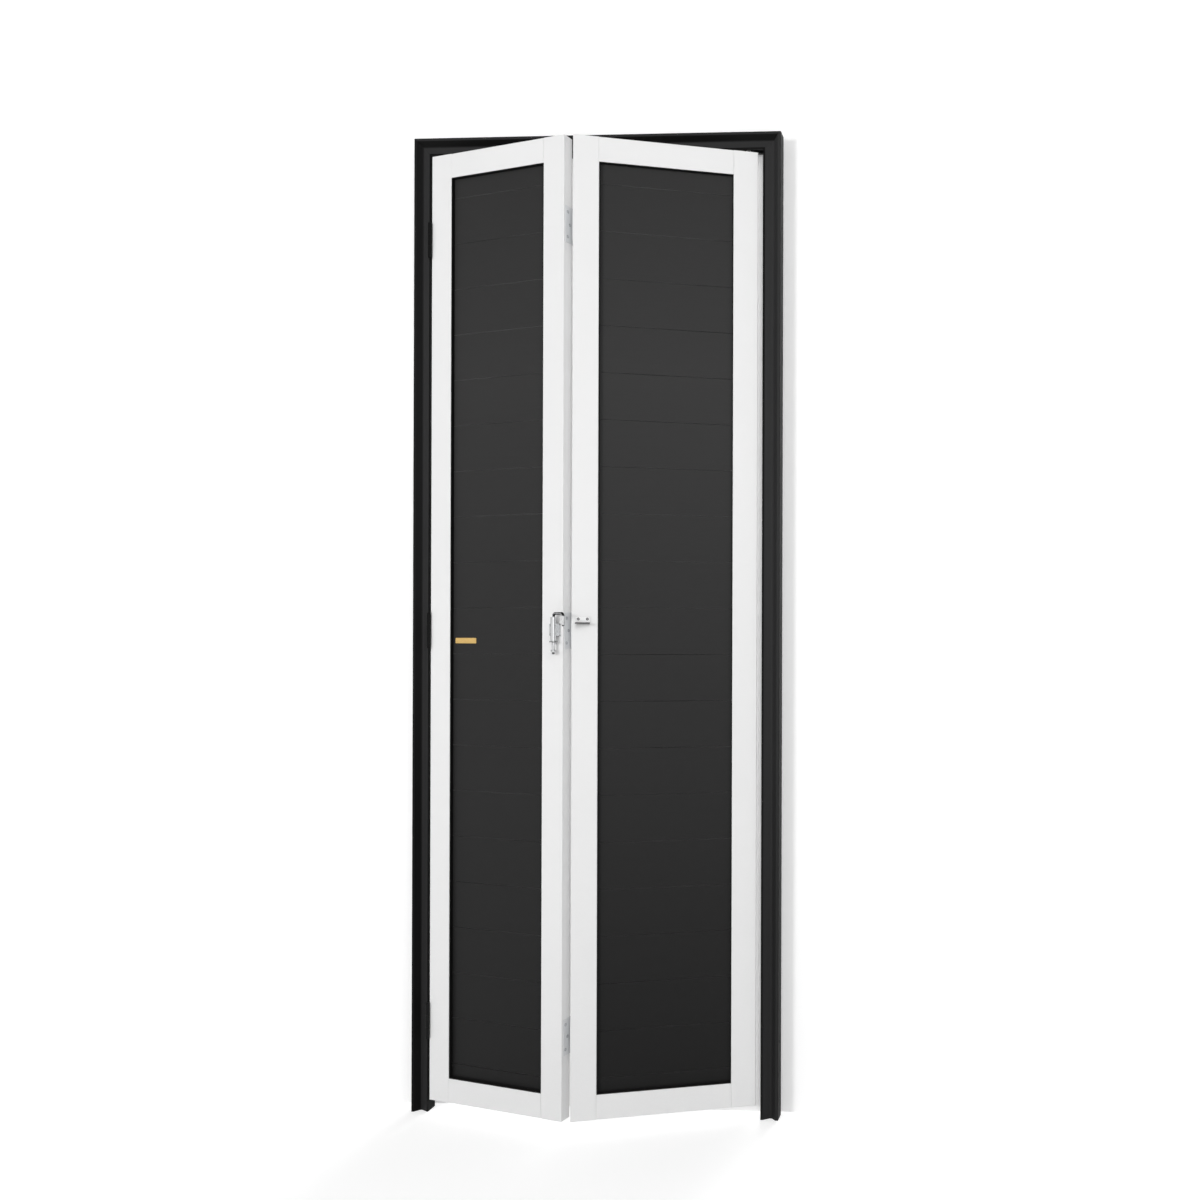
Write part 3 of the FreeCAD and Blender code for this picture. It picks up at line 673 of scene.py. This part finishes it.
def hinge_screw_places(pin, side, reach, face):
    places = []
    for height in hinge_heights:
        for rise, out in hinge_screw_rows:
            at = (pin.x + side * face, pin.y + reach * out, height + rise)
            places.append((at, (-side, 0.0, 0.0)))
    return places


hinge_screw_radius, hinge_screw_dome = 0.0034, 0.00015
jamb_plate_face = 0.0003                       # aside from the pin's middle
screws("jamb_hinge_frame_screws", hinge_screw_places(jamb_pin, -1, 1, jamb_plate_face), on_frame,
       "frame", hinge_black, hinge_screw_radius, seed=3, dome=hinge_screw_dome)
screws("jamb_hinge_leaf_screws", hinge_screw_places(jamb_pin, 1, 1, jamb_plate_face), on_left,
       "left_leaf", hinge_black, hinge_screw_radius, seed=5, dome=hinge_screw_dome)


# Fold hinges

# Three hinges with a grey-white coat join the leaves at their meeting edges.
# Their pins stand behind the leaves, so the door folds towards the viewer.
hinge_white = coated("grey white hinge coat", dark=(0.70, 0.71, 0.72), light=(0.76, 0.77, 0.78),
                     dusty=(0.5, 0.49, 0.48), worn=grey(0.86), rough=0.36, grain_scale=1300.0,
                     edge_radius=0.0004)
finish_nodes(["fold_hinge_" + level + "_" + part for level in hinge_levels
              for part in ("left", "pin", "right")], hinge_white)
fold_plate_face = 0.0006
zinc_screw = coated("zinc plated screw", dark=(0.42, 0.43, 0.45), light=(0.52, 0.53, 0.55),
                    dusty=(0.35, 0.34, 0.33), worn=(0.48, 0.48, 0.49), rough=0.34, grain_scale=1500.0,
                    grain_depth=0.00001, edge_radius=0.0002, metallic=0.7)
screws("fold_hinge_left_screws", hinge_screw_places(fold_pin, -1, -1, fold_plate_face), on_left,
       "left_leaf", zinc_screw, hinge_screw_radius, seed=7, dome=hinge_screw_dome)
screws("fold_hinge_right_screws", hinge_screw_places(fold_pin, 1, -1, fold_plate_face), on_right,
       "right_leaf", zinc_screw, hinge_screw_radius, seed=9, dome=hinge_screw_dome)


# Latch

# A chromed barrel on a back plate guides a bent round rod, which lifts, turns
# and drops its tip into the keeper's ledge. Painted shadow darkens the rod's foot
# and the line under the barrel's flange, and painted dark reflection darkens the
# chrome's edges, its sides as they turn away and the faces that look up or down.
chrome_tone = (0.80, 0.81, 0.82)
chrome_smear_tone = tuple(level * 0.9 for level in chrome_tone)
chrome_dark = (0.012, 0.012, 0.013)            # painted dark reflection on edges, turned sides and faces that look up or down, and painted shadow
rim_power, overhead_pick, chrome_edge_gain = 3.0, (5.0, -0.15), 3.0
rod_foot, barrel_foot = node_box("latch_rod")[0][2], node_box("latch_body")[0][2]
painted_shadow_bands = ((rod_foot + 0.0015, 0.0022), (barrel_foot + 0.0005, 0.0012))     # middle and half width
shadow_band_slope, shadow_band_start, shadow_band_share = 1.5, 2.0, 0.85   # over half a band's width, and at its middle
chrome_roughness, scratch_depth = (0.14, 0.06), 0.000003


def chrome_finish(name):
    made, tree, skin, edge = new_skin(name, edge_radius=0.0005)
    spot = object_place(tree)
    smear = noise_node(tree, spot, scale=90.0, detail=4.0, rough=0.6)
    scratch = noise_node(tree, spot, scale=1900.0, detail=2.0, rough=0.7)
    colour = mix_colour(tree, smear, chrome_tone, chrome_smear_tone)
    rim = tree.nodes.new("ShaderNodeLayerWeight")
    rim.inputs["Blend"].default_value = 0.5
    painted_dark_rim = math_node(tree, "POWER", rim.outputs["Facing"], rim_power, clamp=True)
    overhead = math_node(tree, "ABSOLUTE", parts_of(tree, surface(tree))["Z"])
    overhead = math_node(tree, "MULTIPLY_ADD", overhead, *overhead_pick, clamp=True)
    painted_dark_edge = math_node(tree, "MULTIPLY", edge["Edge"], chrome_edge_gain, clamp=True)
    darkened = [painted_dark_rim, overhead, painted_dark_edge]
    height = parts_of(tree, spot)["Z"]
    for middle, half in painted_shadow_bands:
        away = math_node(tree, "ABSOLUTE", math_node(tree, "SUBTRACT", height, middle))
        near = math_node(tree, "MULTIPLY_ADD", away, -shadow_band_slope / half, shadow_band_start, clamp=True)
        darkened.append(math_node(tree, "MULTIPLY", near, shadow_band_share))
    # Painted dark reflection and painted shadow, laid over the chrome's tone.
    for mask in darkened:
        colour = mix_colour(tree, mask, colour, chrome_dark)
    tree.links.new(colour, skin["Base Color"])
    shine = math_node(tree, "MULTIPLY_ADD", smear, *chrome_roughness, clamp=True)
    tree.links.new(shine, skin["Roughness"])
    relief(tree, skin, scratch, scratch_depth, edge["Rounded"])
    skin["Metallic"].default_value = 0.55
    return made


latch_chrome = chrome_finish("latch chrome")
finish_nodes(["latch_body"], latch_chrome)
rod_pin = on_left.inverted() @ Vector(joints["latch_turn"]["pos_m"])
rod_x, rod_y, rod_top = (round(value, 6) for value in rod_pin)
leaf_face_y = node_box("left_leaf_meeting_stile", on_left)[0][1]
steel_thick = 0.0025                           # of the latch plate and the keeper
plate_outer = leaf_face_y - steel_thick
latch_middle = middle_of("latch_body")[2]
latch_screw_in, latch_screw_rise = 0.0118, 0.009
screws("latch_plate_screws",
       [((rod_x - latch_screw_in, plate_outer, latch_middle + way * latch_screw_rise), (0, -1, 0))
        for way in (1, -1)],
       on_left, "left_leaf", latch_chrome, head_radius=0.003, seed=11, dome=0.0006)

rod_radius, rod_tip = 0.0029, rod_top - 0.0265
rod_bend, rod_arm = 0.007, 0.0416
rod_swing = -math.radians(joints["latch_turn"]["range_deg"][1])
straight_steps, bend_steps, arm_steps, tip_steps = 9, 12, 6, 3
rod_foot_taper = ((0.0, 0.0018), (0.0006, 0.0026), (0.0014, rod_radius))         # height, radius
rod_collar = ((0.0040, 0.0049), (0.0044, 0.0050), (0.0086, 0.0050), (0.0090, 0.0049))
rod_tip_taper = ((0.0014, 0.93), (0.0006, 0.78), (0.0001, 0.5), (0.0, 0.2))      # height, share of the radius
rod_tip_start = 0.0024


def rod_line():
    """Reach, height and radius along the rod, from its foot over the bends to its tip."""
    collar_low, collar_high = rod_foot + rod_collar[0][0], rod_foot + rod_collar[-1][0]
    bend_low = rod_top - rod_bend
    line = [(0.0, rod_foot + rise, wide) for rise, wide in rod_foot_taper]
    line.append((0.0, collar_low, rod_radius))
    line += [(0.0, rod_foot + rise, wide) for rise, wide in rod_collar]
    line.append((0.0, collar_high, rod_radius))
    for i in range(1, straight_steps):
        line.append((0.0, collar_high + (bend_low - collar_high) * i / straight_steps, rod_radius))
    quarter = [math.pi / 2 * i / bend_steps for i in range(bend_steps + 1)]
    for a in quarter:
        line.append((rod_bend * (1 - math.cos(a)), rod_top - rod_bend * (1 - math.sin(a)), rod_radius))
    for i in range(1, arm_steps):
        line.append((rod_bend + (rod_arm - 2 * rod_bend) * i / arm_steps, rod_top, rod_radius))
    for a in quarter:
        reach = rod_arm - rod_bend * (1 - math.sin(a))
        line.append((reach, rod_top - rod_bend * (1 - math.cos(a)), rod_radius))
    tip_low = rod_tip + rod_tip_start
    for i in range(1, tip_steps + 1):
        line.append((rod_arm, bend_low + (tip_low - bend_low) * i / tip_steps, rod_radius))
    for drop, share in rod_tip_taper:
        line.append((rod_arm, rod_tip + drop, rod_radius * share))
    return line


def bent_rod(sides=28):
    line = rod_line()
    turn = on_left @ Matrix.Translation((rod_x, rod_y, 0.0)) @ Matrix.Rotation(rod_swing, 4, "Z")
    upright, outward = Vector((0.0, 0.0, 1.0)), Vector((0.0, 1.0, 0.0))
    collar_first = len(rod_foot_taper)
    collar_last = collar_first + len(rod_collar) + 1
    verts = []
    for i, (reach, height, radius) in enumerate(line):
        before, after = line[max(i - 1, 0)], line[min(i + 1, len(line) - 1)]
        way = Vector((after[0] - before[0], 0.0, after[1] - before[1]))
        way = upright if collar_first <= i <= collar_last else way.normalized()
        across = outward.cross(way)
        for k in range(sides):
            a = 2 * math.pi * k / sides
            rim = radius * (math.cos(a) * across + math.sin(a) * outward)
            verts.append(tuple(turn @ (Vector((reach, 0.0, height)) + rim)))
    piece = solid_piece("bent_latch_rod", verts, tube_faces(sides, len(line)), latch_chrome)
    for face in piece.data.polygons:
        face.use_smooth = len(face.vertices) == 4
    piece.data.set_sharp_from_angle(angle=math.radians(40))
    return piece


rod_piece = bent_rod()
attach(rod_piece, "rod")
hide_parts("latch_rod")
brass = drawn_metal("drawn brass", dark=(0.66, 0.43, 0.14), light=(0.92, 0.62, 0.225), rough=0.34,
                    stretch=40.0, fine=1200.0, metallic=0.5)
finish_nodes(["latch_bush"], brass)


# Keeper

# A bent steel angle on the right leaf. Its ledge has the hole that takes the
# rod's tip and two screws hold its upright. Painted shade darkens the ledge, the
# upright just above it and the angle's edges, and the screw heads are painted
# dark as the shade in their recesses.
keeper_steel = drawn_metal("satin keeper steel", dark=grey(0.84), light=grey(0.92), rough=0.42,
                           stretch=50.0, edge_tone=grey(0.34), edge_radius=0.0006, metallic=0.35)
ledge_low = node_box("keeper")[0][2]
ledge_top = ledge_low + steel_thick
dark_below, clear_above = 0.0002, 0.0010       # the ledge's top, with a soft change between them
keeper_tree = keeper_steel.node_tree
keeper_height = parts_of(keeper_tree, object_place(keeper_tree))["Z"]
# Painted shade on the ledge and on the upright just above it.
lay_over(keeper_steel, smooth_step(keeper_tree, keeper_height, ledge_top - dark_below,
                                   ledge_top + clear_above, low=1.0, high=0.0), grey(0.07))
finish_nodes(["keeper"], keeper_steel)
# The screw heads are painted dark as the shade in their recesses.
dark_screw = coated("dark screw", dark=(0.05, 0.05, 0.052), light=(0.08, 0.08, 0.082), dusty=grey(0.1),
                    worn=grey(0.09), rough=0.4, grain_scale=1600.0, grain_depth=0.00001,
                    edge_radius=0.0002, metallic=0.5, gloss=0.3)
keeper_middle = middle_of("keeper", on_right)[0]
keeper_screw_aside, keeper_screw_rise = 0.009, 0.010
screws("keeper_screws",
       [((keeper_middle + side * keeper_screw_aside, plate_outer, ledge_low + keeper_screw_rise), (0, -1, 0))
        for side in (-1, 1)],
       on_right, "right_leaf", dark_screw, head_radius=0.0028, seed=13, dome=0.0004)


# Brass plate

# A small bare brass plate with a rolled rim is fixed to the left leaf's boards
# beside the latch's height.
plate_wide, plate_tall = 0.0549, 0.0120
plate_inset, plate_low = 0.0084, 1.0247        # from the outer stile, and above the floor
plate_left = node_box("left_leaf_outer_stile", on_left)[1][0] + plate_inset
plate_right, plate_high = plate_left + plate_wide, plate_low + plate_tall
plate_back_y = node_box("left_leaf_boards", on_left)[0][1]
plate_thick = 0.0009
plate_corner, inner_corner = 0.0018, 0.0004
rim_wide, rim_round = 0.0012, 0.0003
rim_side, field_high = plate_thick * 0.7, plate_thick * 0.65       # the rim's side, the field inside it


def rounded_ring(x0, x1, z0, z1, radius, y, steps=5):
    ring = []
    for cx, cz, start in ((x1 - radius, z1 - radius, 0), (x0 + radius, z1 - radius, 90),
                          (x0 + radius, z0 + radius, 180), (x1 - radius, z0 + radius, 270)):
        for i in range(steps + 1):
            a = math.radians(start + 90 * i / steps)
            ring.append((cx + radius * math.cos(a), y, cz + radius * math.sin(a)))
    return ring


def brass_plate():
    rings = [(0.0, 0.0), (0.0, rim_side), (rim_round, plate_thick),
             (rim_wide - rim_round, plate_thick), (rim_wide, field_high)]
    verts = []
    for inset, out in rings:
        verts += rounded_ring(plate_left + inset, plate_right - inset, plate_low + inset, plate_high - inset,
                              max(plate_corner - inset, inner_corner), plate_back_y - out)
    faces = tube_faces(len(verts) // len(rings), len(rings))
    return solid_piece("brass_plate", [tuple(on_left @ Vector(v)) for v in verts], faces, brass)


plate = brass_plate()
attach(plate, "left_leaf")


# Floor, backdrop and light

# A plain pale floor and a white wall behind the frame. The wall shows only
# from in front, so the back of the door can be seen too.
glow_from, glow_to = 2.4, 6.0                  # distances from the door's foot


def stage_finish(name, tone, near_glow, far_glow, one_sided):
    made = bpy.data.materials.new(name)
    made.use_nodes = True
    tree = made.node_tree
    for node in list(tree.nodes):
        tree.nodes.remove(node)
    link = tree.links.new

    def matt():
        node = tree.nodes.new("ShaderNodeBsdfDiffuse")
        node.inputs["Color"].default_value = (tone, tone, tone, 1.0)
        return node.outputs[0]

    span = tree.nodes.new("ShaderNodeVectorMath")
    span.operation = "LENGTH"
    link(object_place(tree), span.inputs[0])
    glow = tree.nodes.new("ShaderNodeEmission")
    glow.inputs["Color"].default_value = (1.0, 1.0, 1.0, 1.0)
    link(smooth_step(tree, span.outputs["Value"], glow_from, glow_to, near_glow, far_glow),
         glow.inputs["Strength"])
    both = tree.nodes.new("ShaderNodeAddShader")
    link(matt(), both.inputs[0])
    link(glow.outputs[0], both.inputs[1])
    ray = tree.nodes.new("ShaderNodeLightPath").outputs
    seen = math_node(tree, "MAXIMUM", ray["Is Camera Ray"], ray["Is Glossy Ray"])
    seen = math_node(tree, "MAXIMUM", seen, ray["Is Transmission Ray"])
    mix = tree.nodes.new("ShaderNodeMixShader")
    if one_sided:
        front = math_node(tree, "SUBTRACT", 1.0, surface(tree, "Backfacing"))
        link(math_node(tree, "MULTIPLY", seen, front), mix.inputs[0])
        link(tree.nodes.new("ShaderNodeBsdfTransparent").outputs[0], mix.inputs[1])
    else:
        link(seen, mix.inputs[0])
        link(matt(), mix.inputs[1])
    link(both.outputs[0], mix.inputs[2])
    link(mix.outputs[0], tree.nodes.new("ShaderNodeOutputMaterial").inputs[0])
    return made


def stage_plane(name, corners, material):
    mesh = bpy.data.meshes.new(name)
    mesh.from_pydata(corners, [], [(0, 1, 2, 3)])
    mesh.materials.append(material)
    linked_piece(name, mesh)


floor_half, wall_y, wall_high = 12, 0.014, 9
stage_plane("floor", [(-floor_half, -floor_half, 0), (floor_half, -floor_half, 0),
                      (floor_half, floor_half, 0), (-floor_half, floor_half, 0)],
            stage_finish("pale floor", tone=0.72, near_glow=0.5, far_glow=0.85, one_sided=False))
stage_plane("backdrop", [(-floor_half, wall_y, 0), (floor_half, wall_y, 0),
                         (floor_half, wall_y, wall_high), (-floor_half, wall_y, wall_high)],
            stage_finish("white backdrop", tone=0.86, near_glow=0.22, far_glow=0.8, one_sided=True))

# The sky is white to the eye and dimmer as a light. In mirrors it is bright
# straight in front, behind and to the left, and dark overhead and to the right.
right_fall, upward_fall, left_glow = (-1.3, 1.0), (-1.5, 1.25), -0.7
mirrored_tone, sky_as_light = 0.8, 0.42
world = bpy.data.worlds.new("studio")
bpy.context.scene.world = world
world.use_nodes = True
sky = world.node_tree
for node in list(sky.nodes):
    sky.nodes.remove(node)


def sky_light(strength, tone=1.0):
    node = sky.nodes.new("ShaderNodeBackground")
    node.inputs["Color"].default_value = (tone, tone, tone, 1.0)
    if isinstance(strength, bpy.types.NodeSocket):
        sky.links.new(strength, node.inputs["Strength"])
    else:
        node.inputs["Strength"].default_value = strength
    return node.outputs[0]


def sky_mix(mask, a, b):
    node = sky.nodes.new("ShaderNodeMixShader")
    for i, given in enumerate((mask, a, b)):
        sky.links.new(given, node.inputs[i])
    return node.outputs[0]


path = sky.nodes.new("ShaderNodeLightPath").outputs
shown = math_node(sky, "MAXIMUM", path["Is Camera Ray"], path["Is Transmission Ray"])
way = parts_of(sky, sky.nodes.new("ShaderNodeTexCoord").outputs["Generated"])
falling = smooth_step(sky, math_node(sky, "ABSOLUTE", way["Y"]), start=0.35, end=0.95, low=0.03, high=1.0)
sideways = math_node(sky, "MULTIPLY_ADD", way["X"], *right_fall, clamp=True)
overhead = math_node(sky, "MULTIPLY_ADD", way["Z"], *upward_fall, clamp=True)
from_left = math_node(sky, "MULTIPLY", way["X"], left_glow, clamp=True)
level = math_node(sky, "MAXIMUM", math_node(sky, "MULTIPLY", falling, sideways), from_left)
mirrored_sky = sky_light(math_node(sky, "MULTIPLY", level, overhead), mirrored_tone)
plain_sky = sky_mix(shown, sky_light(sky_as_light), sky_light(1.0))
sky.links.new(sky_mix(path["Is Glossy Ray"], plain_sky, mirrored_sky),
              sky.nodes.new("ShaderNodeOutputWorld").inputs[0])


def soft_lamp(name, at, aim, size, power, mirrored):
    lamp = bpy.data.lights.new(name, "AREA")
    lamp.shape = "DISK"
    lamp.size = size
    lamp.energy = power
    made = linked_piece(name, lamp)
    made.location = at
    made.rotation_mode = "QUATERNION"
    made.rotation_quaternion = (Vector(aim) - Vector(at)).to_track_quat("-Z", "Y")
    made.visible_glossy = mirrored


soft_lamp("key", at=(-2.2, -4.4, 1.9), aim=(0.0, 0.0, 1.05), size=1.2, power=97.0, mirrored=False)
soft_lamp("fill", at=(2.6, -4.1, 2.6), aim=(0.0, 0.0, 1.05), size=4.0, power=77.0, mirrored=True)
soft_lamp("rear", at=(0.6, 3.8, 2.8), aim=(0.0, 0.0, 1.0), size=3.0, power=110.0, mirrored=True)


# Camera

# Stands in front and to the right of the door at mid height, looking almost
# square at it, with the frame moved to the left as in the photograph.
picture_side = 1200.0                          # in pixels, as the next three
focal_length, centre_across, centre_down = 1038.95, 950.0, 638.57
sensor_width = 36.0
eye = (0.8792, -2.2446, 1.0351)
yaw, pitch, roll = -0.0481, 0.0012, 0.0026
view_data = bpy.data.cameras.new("camera")
view_data.sensor_width = sensor_width
view_data.lens = sensor_width * focal_length / picture_side
view_data.shift_x = (picture_side / 2 - centre_across) / picture_side
view_data.shift_y = (centre_down - picture_side / 2) / picture_side
view_data.clip_start = 0.05
view_data.clip_end = 100.0
ahead = Vector((math.sin(yaw) * math.cos(pitch), math.cos(yaw) * math.cos(pitch), math.sin(pitch)))
right = Vector((math.cos(yaw), -math.sin(yaw), 0.0))
above = right.cross(ahead)
turned_right = math.cos(roll) * right + math.sin(roll) * above
turned_above = -math.sin(roll) * right + math.cos(roll) * above
pose = Matrix((turned_right, turned_above, -ahead)).transposed().to_4x4()
camera = linked_piece("camera", view_data)
camera.matrix_world = Matrix.Translation(eye) @ pose
bpy.context.scene.camera = camera
bpy.context.scene.view_settings.view_transform = "Standard"
